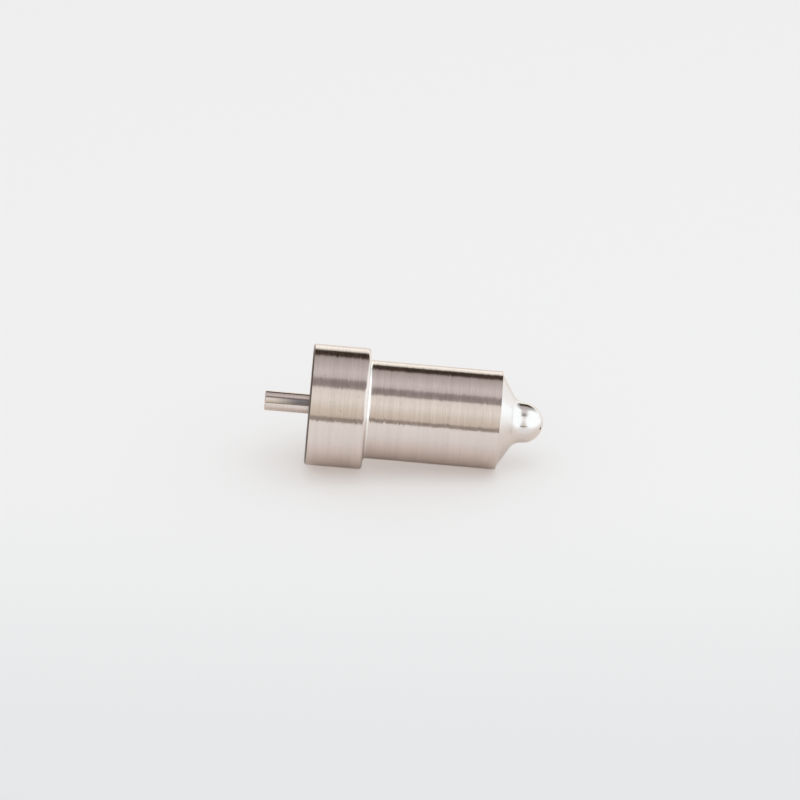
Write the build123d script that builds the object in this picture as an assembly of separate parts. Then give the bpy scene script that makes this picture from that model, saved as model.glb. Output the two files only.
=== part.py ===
from build123d import *
from math import cos, radians, sin, tan
import os

# Diesel injection nozzle of the hole type: a body and the needle valve that is lapped into it.
# Millimetres. The origin is the centre of the lapped top face, which seals against the holder.
# +X runs along the bore axis to the spray tip, and +Z is up.

# Body, outside
COLLAR_D = 17.0
COLLAR_LENGTH = 8.1
COLLAR_CHAMFER = 0.25
COLLAR_SHOULDER_R = 0.45
SHANK_D = 13.8
SHANK_LENGTH = 18.7
SHANK_ROOT_FILLET = 0.5
SHANK_EDGE_CHAMFER = 0.08
CONE_BASE_D = 13.0
CONE_HALF_ANGLE = 58.3
TIP_FILLET = 1.75
DOME_R = 2.85
TIP_LENGTH = 6.1

# Body, inside
BORE_D = 6.0
BORE_CHAMFER = 0.2
GALLERY_START = 16.6
GALLERY_END = 21.4
GALLERY_R = 4.7
SHAFT_BORE_D = 4.4
SEAT_START = 27.2
SEAT_HALF_ANGLE = 30.0
SAC_D = 1.0
SAC_END = 31.7

# Fuel ways and location holes
GROOVE_MID_R = 4.8
GROOVE_WIDTH = 1.2
GROOVE_DEPTH = 0.8
DUCT_COUNT = 3
DUCT_D = 1.5
DUCT_END_R = 4.25
DUCT_END_X = 18.3
DUCT_TURN = 60.0
SPRAY_HOLE_COUNT = 3
SPRAY_HOLE_D = 0.4
SPRAY_ANGLE = 28.0
SPRAY_TURN = 93.0
DOWEL_HOLE_D = 2.0
DOWEL_HOLE_DEPTH = 4.0
DOWEL_HOLE_R = 6.75
DOWEL_HOLE_CHAMFER = 0.15
DOWEL_HOLE_ANGLES = (0.0, 120.0)
DRILL_HALF_ANGLE = 59.0

# Needle valve
GUIDE_CLEARANCE = 0.012
TAIL_D = 2.8
TAIL_REACH = 6.2
TAIL_CHAMFER = 0.12
TAIL_ROOT_FILLET = 0.3
STOP_DEPTH = 0.35
LAND_END = 16.2
LAND_CHAMFER = 0.25
SHAFT_D = 3.6
PRESSURE_CONE_LENGTH = 1.6
SEAT_CLEARANCE = 0.012
NEEDLE_TIP_R = 0.35
NEEDLE_TIP_CONE_R = 0.75
NEEDLE_TIP_HALF_ANGLE = 38.0

# Worked out
COLLAR_R = COLLAR_D / 2
SHANK_R = SHANK_D / 2
CONE_BASE_R = CONE_BASE_D / 2
BORE_R = BORE_D / 2
SHAFT_BORE_R = SHAFT_BORE_D / 2
SAC_R = SAC_D / 2
RIM_X = COLLAR_LENGTH + SHANK_LENGTH
APEX_X = RIM_X + TIP_LENGTH
DOME_X = APEX_X - DOME_R
SEAT_SLOPE = tan(radians(SEAT_HALF_ANGLE))
SEAT_END = SEAT_START + (SHAFT_BORE_R - SAC_R) / SEAT_SLOPE


def turned(outline):
    """The solid of revolution about the bore axis of a closed outline drawn above it."""
    return revolve(make_face(outline), axis=Axis.X)


def about_axis(shape, angle):
    """The shape turned about the bore axis by an angle in degrees."""
    return Rot(X=angle) * shape


def body_blank():
    """The turned and ground body, with its bore, gallery, seat and sac but none of the cross ways."""
    cone_foot_x = RIM_X + (CONE_BASE_R - DOME_R) / tan(radians(CONE_HALF_ANGLE))
    outside = FilletPolyline(
        (0, BORE_R + BORE_CHAMFER),
        (0, COLLAR_R - COLLAR_CHAMFER),
        (COLLAR_CHAMFER, COLLAR_R),
        (COLLAR_LENGTH, COLLAR_R),
        (COLLAR_LENGTH, SHANK_R),
        (RIM_X - SHANK_EDGE_CHAMFER, SHANK_R),
        (RIM_X, SHANK_R - SHANK_EDGE_CHAMFER),
        (RIM_X, CONE_BASE_R),
        (cone_foot_x, DOME_R),
        (DOME_X, DOME_R),
        radius=[0, 0, COLLAR_SHOULDER_R, SHANK_ROOT_FILLET, 0, 0, 0, TIP_FILLET],
    )
    dome_mid = (DOME_X + DOME_R * cos(radians(45)), DOME_R * sin(radians(45)))
    dome = ThreePointArc((DOME_X, DOME_R), dome_mid, (APEX_X, 0))
    sac_x = SAC_END - SAC_R
    sac_mid = (sac_x + SAC_R * cos(radians(45)), SAC_R * sin(radians(45)))
    core = Line((APEX_X, 0), (SAC_END, 0))
    sac_floor = ThreePointArc((SAC_END, 0), sac_mid, (sac_x, SAC_R))
    seat = Polyline(
        (sac_x, SAC_R),
        (SEAT_END, SAC_R),
        (SEAT_START, SHAFT_BORE_R),
        (GALLERY_END, SHAFT_BORE_R),
    )
    gallery_mid = ((GALLERY_START + GALLERY_END) / 2, GALLERY_R)
    gallery = ThreePointArc((GALLERY_END, SHAFT_BORE_R), gallery_mid, (GALLERY_START, BORE_R))
    guide = Polyline((GALLERY_START, BORE_R), (BORE_CHAMFER, BORE_R), (0, BORE_R + BORE_CHAMFER))
    return turned(outside + dome + core + sac_floor + seat + gallery + guide)


def fuel_groove():
    """The ring groove in the top face that shares the fuel between the feed ducts."""
    ring = Cylinder(GROOVE_MID_R + GROOVE_WIDTH / 2, GROOVE_DEPTH)
    core = Cylinder(GROOVE_MID_R - GROOVE_WIDTH / 2, GROOVE_DEPTH)
    return Pos(X=GROOVE_DEPTH / 2) * Rot(Y=90) * (ring - core)


def feed_duct():
    """One drilled duct from the groove's floor down into the gallery."""
    start = Vector(GROOVE_DEPTH / 2, 0, GROOVE_MID_R)
    run = Vector(DUCT_END_X, 0, DUCT_END_R) - start
    return Plane(origin=start, z_dir=run) * Cylinder(
        DUCT_D / 2, run.length, align=(Align.CENTER, Align.CENTER, Align.MIN)
    )


def spray_hole():
    """One spray hole, drilled from the sac out through the dome along the dome's own radius."""
    inside = Vector(DOME_X, 0, 0)
    along = Vector(cos(radians(SPRAY_ANGLE)), 0, sin(radians(SPRAY_ANGLE)))
    start = inside + along * SAC_R
    return Plane(origin=start, z_dir=along) * Cylinder(
        SPRAY_HOLE_D / 2, DOME_R, align=(Align.CENTER, Align.CENTER, Align.MIN)
    )


def dowel_hole():
    """One blind location hole in the top face, with a chamfered mouth and a drilled floor."""
    hole_r = DOWEL_HOLE_D / 2
    floor_depth = DOWEL_HOLE_DEPTH + hole_r / tan(radians(DRILL_HALF_ANGLE))
    outline = Polyline(
        (0, 0),
        (0, hole_r + DOWEL_HOLE_CHAMFER),
        (DOWEL_HOLE_CHAMFER, hole_r),
        (DOWEL_HOLE_DEPTH, hole_r),
        (floor_depth, 0),
        (0, 0),
    )
    return Pos(Z=DOWEL_HOLE_R) * turned(outline)


def nozzle_body():
    body = body_blank() - fuel_groove()
    for i in range(DUCT_COUNT):
        body -= about_axis(feed_duct(), DUCT_TURN + i * 360 / DUCT_COUNT)
    for i in range(SPRAY_HOLE_COUNT):
        body -= about_axis(spray_hole(), SPRAY_TURN + i * 360 / SPRAY_HOLE_COUNT)
    for angle in DOWEL_HOLE_ANGLES:
        body -= about_axis(dowel_hole(), angle)
    return body


def needle_valve():
    """The needle, closed: its seat cone is a hair short of the body's seat."""
    land_r = BORE_R - GUIDE_CLEARANCE
    tail_r = TAIL_D / 2
    shaft_r = SHAFT_D / 2
    seat_half = radians(SEAT_HALF_ANGLE)
    seat_shift = SEAT_CLEARANCE / sin(seat_half)
    seat_top_x = SEAT_START + (SHAFT_BORE_R - shaft_r) / SEAT_SLOPE - seat_shift
    tip_cone_x = seat_top_x + (shaft_r - NEEDLE_TIP_CONE_R) / SEAT_SLOPE
    tip_x = tip_cone_x + (NEEDLE_TIP_CONE_R - NEEDLE_TIP_R) / tan(radians(NEEDLE_TIP_HALF_ANGLE))
    outline = FilletPolyline(
        (-TAIL_REACH, 0),
        (-TAIL_REACH, tail_r - TAIL_CHAMFER),
        (-TAIL_REACH + TAIL_CHAMFER, tail_r),
        (STOP_DEPTH, tail_r),
        (STOP_DEPTH, land_r - LAND_CHAMFER),
        (STOP_DEPTH + LAND_CHAMFER, land_r),
        (LAND_END - LAND_CHAMFER, land_r),
        (LAND_END, land_r - LAND_CHAMFER),
        (LAND_END + PRESSURE_CONE_LENGTH, shaft_r),
        (seat_top_x, shaft_r),
        (tip_cone_x, NEEDLE_TIP_CONE_R),
        (tip_x, NEEDLE_TIP_R),
        (tip_x, 0),
        radius=[0, 0, TAIL_ROOT_FILLET, 0, 0, 0, 0, TAIL_ROOT_FILLET, 0, 0, 0],
    )
    return turned(outline + Line((tip_x, 0), (-TAIL_REACH, 0)))


os.makedirs("parts", exist_ok=True)
export_step(nozzle_body(), "parts/nozzle_body.step")
export_step(needle_valve(), "parts/needle_valve.step")
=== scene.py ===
import bpy
import math
from mathutils import Matrix, Vector

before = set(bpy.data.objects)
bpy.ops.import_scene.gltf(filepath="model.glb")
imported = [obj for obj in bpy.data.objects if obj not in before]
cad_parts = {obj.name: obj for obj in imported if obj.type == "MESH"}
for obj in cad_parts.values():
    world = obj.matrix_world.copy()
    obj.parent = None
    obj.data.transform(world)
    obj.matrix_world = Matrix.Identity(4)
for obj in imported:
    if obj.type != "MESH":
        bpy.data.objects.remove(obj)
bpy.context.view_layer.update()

MM = 0.001

# The nozzle's collar and shank, and the places along its axis where they touch the floor
COLLAR_R = 8.5 * MM
COLLAR_FOOT_X = 7.5 * MM  # just inside the collar's rounded shoulder edge
SHANK_R = 6.9 * MM
RIM_X = 26.8 * MM  # the sharp rim between shank and end cone

# It lies on its collar and on the rim of its shank, so the floor slopes against the bore axis.
FLOOR_SLOPE = math.atan2(COLLAR_R - SHANK_R, RIM_X - COLLAR_FOOT_X)
FLOOR_SIZE = 3.0

# Camera: a long lens, well back from the table and above it
CAMERA_AIM = Vector((12.66 * MM, 0.0, 1.82 * MM))
CAMERA_DISTANCE = 980.0 * MM
CAMERA_AZIMUTH = math.radians(1.21)
CAMERA_ELEVATION = math.radians(25.0)
CAMERA_ROLL = math.radians(0.18)
CAMERA_FOV = math.radians(6.541)
CAMERA_NEAR = 0.01
CAMERA_FAR = 10.0

# What the steel mirrors, as (degrees up from the front horizon and over to the back, colour).
# The first band starts straight down.
BANDS_START = -90
STUDIO_BANDS = (
    (-90, (0.80, 0.80, 0.80)),
    (2, (0.66, 0.60, 0.52)),
    (20, (0.76, 0.72, 0.64)),
    (38, (0.93, 0.92, 0.87)),
    (58, (0.87, 0.85, 0.82)),
    (62, (0.32, 0.28, 0.27)),
    (71, (0.27, 0.24, 0.24)),
    (76, (0.32, 0.29, 0.29)),
    (82, (0.66, 0.63, 0.63)),
    (95, (0.71, 0.68, 0.69)),
    (130, (0.47, 0.44, 0.43)),
    (137, (0.06, 0.04, 0.03)),
    (154, (0.03, 0.02, 0.01)),
    (159, (0.85, 0.84, 0.78)),
    (168, (1.20, 1.20, 1.12)),
    (200, (1.10, 1.10, 1.06)),
)
RIGHT_WALL = (1.22, 1.31, 1.35)
RIGHT_WALL_SPAN = (0.3, 0.85)  # how far to +X a reflection looks, from no wall to all wall
LEFT_WALL = (0.60, 0.54, 0.52)
LEFT_WALL_SPAN = (-0.25, -0.5)
BACKDROP = (0.90, 0.90, 0.90)  # what lights the floor and is seen past its edge

# Cards that only show in the steel, as (size x, size y, the axis of the quarter turn that stands
# the card up, its centre on the floor's axes, colour)
RIGHT_CARD = (120 * MM, 180 * MM, "Y", (75 * MM, -60 * MM, 60 * MM), RIGHT_WALL)
FRONT_GAP = (400 * MM, 18 * MM, "X", (0.0, -115 * MM, 9 * MM), (0.33, 0.29, 0.25))

# The key light, placed on the floor's axes
KEY_WIDTH = 0.5
KEY_DEPTH = 0.4
KEY_WATTS = 0.6
KEY_PLACE = Vector((0.12, -0.10, 0.60))

# The floor, as the camera sees it: its own warm glow, painted light that keeps the shadows light and
# warm, dimmer to the front, and the paper that takes shadows
GLOW = (0.42, 0.36, 0.33)
GLOW_SPAN = (-100 * MM, 0.0)
GLOW_DIM = 0.80
PAPER = (0.44, 0.50, 0.53)

# The floor, as the steel mirrors it: plain in front of the nozzle, warmer with painted shade and warm
# bounced light under and behind it, and a painted pool of light as bright as the right wall to its right
FRONT_PAPER = (0.88, 0.88, 0.88)
# painted shade and warm bounced light, for the mirrored floor under and behind the nozzle
SHADED_BACK_PAPER = (0.80, 0.74, 0.69)
SHADED_BACK_SPAN = (-16 * MM, -3 * MM)
# where the mirrored floor glows with a painted pool of light from the right wall, along X and along Y
PAINTED_LIGHT_SPAN_X = (28 * MM, 70 * MM)
PAINTED_LIGHT_SPAN_Y = (130 * MM, 30 * MM)

# Steel colours
STEEL = (0.78, 0.69, 0.65)
LINE_SHADE = 0.92  # how dark the darkest grinding lines are against the steel
BRIGHT_STEEL = (0.80, 0.755, 0.735)
# painted highlight colour for the root of the shank
ROOT_HIGHLIGHT_STEEL = (0.97, 0.94, 0.91)
SPECK = (0.23, 0.21, 0.19)
# painted shade colour for the top chamfer
CHAMFER_SHADE = (0.17, 0.15, 0.14)
# painted shade colour for the stripe on the needle's tail
TAIL_SHADE = (0.13, 0.13, 0.15)

# Grinding rings, as (scale along the bore axis, scale around it, noise detail)
COARSE_RINGS = (1500.0, 60.0, 3.0)
FINE_RINGS = (7000.0, 150.0, 2.0)
SHORT_RINGS = (9000.0, 350.0, 1.0)
LINE_SPAN = (0.35, 0.65)  # the part of the rings' noise that is spread over dark to light
WEAR = (0.85, 1.15)  # the least and the greatest roughness, against the mean
ANISOTROPY = 0.95
QUARTER_TURN = 0.25  # lays the highlights across the rings

# The finish changes at the rim of the shank, from ground lines to a smooth, bright tip
TIP_EDGE = 0.1 * MM
TIP_ROUGHNESS = 0.16
TIP_SMOOTHING = 0.8  # how much of the rings' tilt the tip loses

# Specks in the body's steel
SPECK_SCALE = 4500.0
SPECK_DETAIL = 1.0
SPECK_SPAN = (0.71, 0.77)
SPECK_STRENGTH = 0.5

# Painted marks along the bore axis, as (centre, half width, soft edge): a painted highlight and a painted
# shade
# painted highlight where the root fillet of the shank catches the bright right wall
ROOT_HIGHLIGHT_MARK = (8.22 * MM, 0.15 * MM, 0.12 * MM)
# painted shade on the top chamfer, standing in for its dark reflection of the dim left side
CHAMFER_SHADE_MARK = (0.13 * MM, 0.10 * MM, 0.03 * MM)

# The stripe of painted shade on the tail, a painted dark reflection: its band of heights, and how it
# deepens towards the body
TAIL_SHADE_MARK = (0.67 * MM, 0.22 * MM, 0.2 * MM)
TAIL_SHADE_FRONT = (0.1 * MM, -0.1 * MM)  # keeps it on the tail's -Y side
TAIL_SHADE_SPAN = (-5.8 * MM, -1.0 * MM)
TAIL_SHADE_DEPTH = 0.9
TAIL_END = (0.2 * MM, 0.1 * MM)  # where the tail ends and the land begins, which gets no painted shade


def link(tree, source, target):
    """Links an output socket to an input socket."""
    tree.links.new(source, target)


def node(tree, kind, **settings):
    """A new node of the kind, with its properties set by name."""
    made = tree.nodes.new(kind)
    for name, value in settings.items():
        setattr(made, name, value)
    return made


def feed(tree, sockets, values):
    """Fills sockets in turn, each with a socket to link or with a plain value."""
    for socket, value in zip(sockets, values):
        if isinstance(value, bpy.types.NodeSocket):
            link(tree, value, socket)
        else:
            socket.default_value = value


def maths(tree, operation, *values):
    """A Math node's result."""
    made = node(tree, "ShaderNodeMath", operation=operation)
    feed(tree, made.inputs, values)
    return made.outputs[0]


def vectors(tree, operation, *values):
    """A Vector Math node's result."""
    made = node(tree, "ShaderNodeVectorMath", operation=operation)
    feed(tree, made.inputs, values)
    return made.outputs[0]


def ramp(tree, value, span, low=0.0, high=1.0):
    """The value eased from the span's two ends to low and high, and held there beyond them."""
    made = node(tree, "ShaderNodeMapRange", interpolation_type="SMOOTHSTEP")
    feed(tree, made.inputs, (value, *span, low, high))
    return made.outputs[0]


def blend(tree, factor, a, b):
    """A mix of two colours, each a socket or a plain colour."""
    made = node(tree, "ShaderNodeMix", data_type="RGBA")
    feed(tree, (made.inputs["Factor"],), (factor,))
    for name, value in (("A", a), ("B", b)):
        linked = isinstance(value, bpy.types.NodeSocket)
        feed(tree, (made.inputs[name],), (value if linked else (*value, 1.0),))
    return made.outputs["Result"]


def rings(tree, place, along, around, detail):
    """Noise drawn out into fine rings about the bore axis."""
    stretch = node(tree, "ShaderNodeMapping")
    stretch.inputs["Scale"].default_value = (along, around, around)
    link(tree, place, stretch.inputs["Vector"])
    noise = node(tree, "ShaderNodeTexNoise")
    noise.inputs["Scale"].default_value = 1.0
    noise.inputs["Detail"].default_value = detail
    link(tree, stretch.outputs[0], noise.inputs["Vector"])
    return noise.outputs["Fac"]


def near(tree, value, mark):
    """One within the mark's half width of its centre, falling to nought over its soft edge."""
    centre, half, soft = mark
    away = maths(tree, "ABSOLUTE", maths(tree, "SUBTRACT", value, centre))
    return ramp(tree, away, (half + soft, half))


def tip_part(tree, x):
    """Nought on the shank and one on the tip."""
    return ramp(tree, x, (RIM_X - TIP_EDGE, RIM_X + TIP_EDGE))


def tilt(tree, noise, amount, depth):
    """Noise made into a tilt of up to half the amount either way, scaled by the depth."""
    return maths(tree, "MULTIPLY", maths(tree, "MULTIPLY_ADD", noise, amount, -amount / 2), depth)


def body_marks(tree, position, place, shade):
    """Bright tip, a painted highlight on the root of the shank, painted shade on the top chamfer and a
    few specks.
    """
    x = place.outputs["X"]
    dots = node(tree, "ShaderNodeTexNoise")
    dots.inputs["Scale"].default_value = SPECK_SCALE
    dots.inputs["Detail"].default_value = SPECK_DETAIL
    link(tree, position, dots.inputs["Vector"])
    specks = ramp(tree, dots.outputs["Fac"], SPECK_SPAN, high=SPECK_STRENGTH)
    shade = blend(tree, specks, shade, SPECK)
    shade = blend(tree, tip_part(tree, x), shade, BRIGHT_STEEL)
    # painted highlight on the root of the shank
    shade = blend(tree, near(tree, x, ROOT_HIGHLIGHT_MARK), shade, ROOT_HIGHLIGHT_STEEL)
    # painted shade on the top chamfer
    return blend(tree, near(tree, x, CHAMFER_SHADE_MARK), shade, CHAMFER_SHADE)


def needle_marks(tree, _position, place, shade):
    """A stripe of painted shade along the tail, deepest by the body. It takes what body_marks takes."""
    x, y, z = place.outputs
    front = ramp(tree, y, TAIL_SHADE_FRONT)
    stripe = maths(tree, "MULTIPLY", near(tree, z, TAIL_SHADE_MARK), front)
    depth = ramp(tree, x, TAIL_SHADE_SPAN, high=TAIL_SHADE_DEPTH)
    tail = maths(tree, "MULTIPLY", depth, ramp(tree, x, TAIL_END))
    # darkens the stripe on the tail with painted shade
    return blend(tree, maths(tree, "MULTIPLY", stripe, tail), shade, TAIL_SHADE)


def steel(name, marks, roughness, scatter, sway):
    """Turned and ground steel with fine rings about the axis, smoother on the tip.

    scatter is how far the rings tilt the surface along the axis, sway how far around it.
    """
    material = bpy.data.materials.new(name)
    material.use_nodes = True
    tree = material.node_tree
    tree.nodes.clear()
    out = node(tree, "ShaderNodeOutputMaterial")
    shader = node(tree, "ShaderNodeBsdfPrincipled")
    link(tree, shader.outputs[0], out.inputs["Surface"])
    shader.inputs["Metallic"].default_value = 1.0
    shader.inputs["Anisotropic"].default_value = ANISOTROPY
    shader.inputs["Anisotropic Rotation"].default_value = QUARTER_TURN
    tangent = node(tree, "ShaderNodeTangent", direction_type="RADIAL", axis="X").outputs[0]
    link(tree, tangent, shader.inputs["Tangent"])

    position = node(tree, "ShaderNodeTexCoord").outputs["Object"]
    place = node(tree, "ShaderNodeSeparateXYZ")
    link(tree, position, place.inputs[0])
    tip = tip_part(tree, place.outputs["X"])
    coarse = rings(tree, position, *COARSE_RINGS)
    fine = rings(tree, position, *FINE_RINGS)
    short = rings(tree, position, *SHORT_RINGS)

    lines = maths(tree, "MULTIPLY_ADD", fine, 0.5, maths(tree, "MULTIPLY", coarse, 0.5))
    dark = [c * LINE_SHADE for c in STEEL]
    shade = blend(tree, ramp(tree, lines, LINE_SPAN), dark, STEEL)
    link(tree, marks(tree, position, place, shade), shader.inputs["Base Color"])

    worn = ramp(tree, lines, LINE_SPAN, *(roughness * w for w in WEAR))
    rough = node(tree, "ShaderNodeMix", data_type="FLOAT")
    feed(tree, (rough.inputs["Factor"], rough.inputs["A"], rough.inputs["B"]), (tip, worn, TIP_ROUGHNESS))
    link(tree, rough.outputs["Result"], shader.inputs["Roughness"])

    depth = maths(tree, "MULTIPLY_ADD", tip, -TIP_SMOOTHING, 1.0)
    along = node(tree, "ShaderNodeCombineXYZ")
    link(tree, tilt(tree, fine, scatter, depth), along.inputs["X"])
    around = node(tree, "ShaderNodeVectorMath", operation="SCALE")
    link(tree, tangent, around.inputs[0])
    link(tree, tilt(tree, short, sway, depth), around.inputs["Scale"])
    face = node(tree, "ShaderNodeNewGeometry").outputs["Normal"]
    tilted = vectors(tree, "ADD", vectors(tree, "ADD", face, along.outputs[0]), around.outputs[0])
    link(tree, vectors(tree, "NORMALIZE", tilted), shader.inputs["Normal"])
    return material


def dress(name, material):
    """Gives a CAD node its finished material."""
    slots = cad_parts[name].data.materials
    slots.clear()
    slots.append(material)


def sheet(name, size_x, size_y, place):
    """A flat rectangle about its own origin, put in place by a matrix and linked into the scene."""
    mesh = bpy.data.meshes.new(name)
    x, y = size_x / 2, size_y / 2
    mesh.from_pydata([(-x, -y, 0), (x, -y, 0), (x, y, 0), (-x, y, 0)], [], [(0, 1, 2, 3)])
    made = bpy.data.objects.new(name, mesh)
    bpy.context.scene.collection.objects.link(made)
    made.matrix_world = place
    return made


def make_floor(lie):
    """A large pale floor that glows like a light table.

    Its own warm glow is painted light that keeps the shadows on it light. The steel mirrors plain paper
    instead, which turns as bright as the right wall towards the right, a painted pool of light.
    """
    floor = sheet("floor", FLOOR_SIZE, FLOOR_SIZE, lie)
    paper = bpy.data.materials.new("floor_paper")
    paper.use_nodes = True
    tree = paper.node_tree
    tree.nodes.clear()
    out = node(tree, "ShaderNodeOutputMaterial")
    split = node(tree, "ShaderNodeSeparateXYZ")
    link(tree, node(tree, "ShaderNodeTexCoord").outputs["Object"], split.inputs[0])
    x, y, _ = split.outputs

    # painted light: the floor's own warm glow, dimmer to the front
    glow = node(tree, "ShaderNodeEmission")
    glow.inputs["Color"].default_value = (*GLOW, 1.0)
    link(tree, ramp(tree, y, GLOW_SPAN, low=GLOW_DIM), glow.inputs["Strength"])
    seen = node(tree, "ShaderNodeBsdfDiffuse")
    seen.inputs["Color"].default_value = (*PAPER, 1.0)
    lit = node(tree, "ShaderNodeAddShader")
    link(tree, glow.outputs[0], lit.inputs[0])
    link(tree, seen.outputs[0], lit.inputs[1])

    plain = node(tree, "ShaderNodeBsdfDiffuse")
    # painted shade and warm bounced light on the mirrored floor under and behind the nozzle
    link(tree, blend(tree, ramp(tree, y, SHADED_BACK_SPAN), FRONT_PAPER, SHADED_BACK_PAPER), plain.inputs["Color"])
    # painted pool of light: to the right, the floor glows as bright as the right wall in the steel
    bright = node(tree, "ShaderNodeEmission")
    bright.inputs["Color"].default_value = (*RIGHT_WALL, 1.0)
    mirrored = node(tree, "ShaderNodeMixShader")
    side = maths(tree, "MULTIPLY", ramp(tree, x, PAINTED_LIGHT_SPAN_X), ramp(tree, y, PAINTED_LIGHT_SPAN_Y))
    link(tree, side, mirrored.inputs[0])
    link(tree, plain.outputs[0], mirrored.inputs[1])
    link(tree, bright.outputs[0], mirrored.inputs[2])

    both = node(tree, "ShaderNodeMixShader")
    link(tree, node(tree, "ShaderNodeLightPath").outputs["Is Glossy Ray"], both.inputs[0])
    link(tree, lit.outputs[0], both.inputs[1])
    link(tree, mirrored.outputs[0], both.inputs[2])
    link(tree, both.outputs[0], out.inputs["Surface"])
    floor.data.materials.append(paper)


def make_card(name, lie, layout):
    """A card of even brightness, stood up on the floor, that only shows in the steel."""
    size_x, size_y, axis, centre, colour = layout
    stood = Matrix.Translation(centre) @ Matrix.Rotation(math.radians(90), 4, axis)
    card = sheet(name, size_x, size_y, lie @ stood)
    glow = bpy.data.materials.new(name)
    glow.use_nodes = True
    tree = glow.node_tree
    tree.nodes.clear()
    out = node(tree, "ShaderNodeOutputMaterial")
    shine = node(tree, "ShaderNodeEmission")
    shine.inputs["Color"].default_value = (*colour, 1.0)
    link(tree, shine.outputs[0], out.inputs["Surface"])
    card.data.materials.append(glow)
    card.visible_camera = False
    card.visible_diffuse = False
    card.visible_shadow = False


def make_world():
    """Soft studio surroundings: bands of light along the nozzle, a bright right wall, a dim left one."""
    world = bpy.data.worlds.new("studio")
    bpy.context.scene.world = world
    world.use_nodes = True
    tree = world.node_tree
    tree.nodes.clear()
    out = node(tree, "ShaderNodeOutputWorld")
    light = node(tree, "ShaderNodeBackground")
    link(tree, light.outputs[0], out.inputs["Surface"])
    split = node(tree, "ShaderNodeSeparateXYZ")
    link(tree, node(tree, "ShaderNodeTexCoord").outputs["Generated"], split.inputs[0])
    x, y, z = split.outputs
    angle = maths(tree, "ARCTAN2", z, maths(tree, "MULTIPLY", y, -1.0))
    start = -BANDS_START / 360
    turn = maths(tree, "FRACT", maths(tree, "MULTIPLY_ADD", angle, 1 / (2 * math.pi), start))
    bands = node(tree, "ShaderNodeValToRGB")
    stops = bands.color_ramp.elements
    while len(stops) < len(STUDIO_BANDS):
        stops.new(0.5)
    for stop, (degrees, colour) in zip(stops, STUDIO_BANDS):
        stop.position = (degrees - BANDS_START) / 360
        stop.color = (*colour, 1.0)
    link(tree, turn, bands.inputs[0])
    sided = blend(tree, ramp(tree, x, RIGHT_WALL_SPAN), bands.outputs["Color"], RIGHT_WALL)
    sided = blend(tree, ramp(tree, x, LEFT_WALL_SPAN), sided, LEFT_WALL)
    mirrored = node(tree, "ShaderNodeLightPath").outputs["Is Glossy Ray"]
    link(tree, blend(tree, mirrored, BACKDROP, sided), light.inputs["Color"])


def make_camera():
    """The camera, turned and raised against the floor."""
    lay = Matrix.Rotation(-FLOOR_SLOPE, 3, "Y")
    flat = math.cos(CAMERA_ELEVATION)
    back = lay @ Vector(
        (math.sin(CAMERA_AZIMUTH) * flat, -math.cos(CAMERA_AZIMUTH) * flat, math.sin(CAMERA_ELEVATION))
    )
    level = lay @ Vector((math.cos(CAMERA_AZIMUTH), math.sin(CAMERA_AZIMUTH), 0.0))
    up = back.cross(level)
    right = level * math.cos(CAMERA_ROLL) + up * math.sin(CAMERA_ROLL)
    up = back.cross(right)
    data = bpy.data.cameras.new("camera")
    data.angle = CAMERA_FOV
    data.clip_start = CAMERA_NEAR
    data.clip_end = CAMERA_FAR
    camera = bpy.data.objects.new("camera", data)
    bpy.context.scene.collection.objects.link(camera)
    turn = Matrix((right, up, back)).transposed().to_4x4()
    camera.matrix_world = Matrix.Translation(CAMERA_AIM + back * CAMERA_DISTANCE) @ turn
    bpy.context.scene.camera = camera


def make_key_light(lie):
    """A broad soft light above and to the right, which lights the floor but doesn't show in the steel."""
    data = bpy.data.lights.new("key", "AREA")
    data.shape = "RECTANGLE"
    data.size = KEY_WIDTH
    data.size_y = KEY_DEPTH
    data.energy = KEY_WATTS
    key = bpy.data.objects.new("key", data)
    bpy.context.scene.collection.objects.link(key)
    facing = KEY_PLACE.to_track_quat("Z", "Y").to_matrix().to_4x4()
    key.matrix_world = lie @ Matrix.Translation(KEY_PLACE) @ facing
    key.visible_glossy = False


# The set
bpy.context.scene.view_settings.view_transform = "Standard"
floor_lie = Matrix.Translation((COLLAR_FOOT_X, 0.0, -COLLAR_R)) @ Matrix.Rotation(-FLOOR_SLOPE, 4, "Y")
make_camera()
make_world()
make_floor(floor_lie)
make_key_light(floor_lie)
make_card("right_card", floor_lie, RIGHT_CARD)
make_card("front_gap", floor_lie, FRONT_GAP)

# The nozzle
dress("nozzle_body", steel("ground_steel", body_marks, roughness=0.18, scatter=0.07, sway=0.09))
dress("needle_valve", steel("lapped_steel", needle_marks, roughness=0.10, scatter=0.02, sway=0.01))
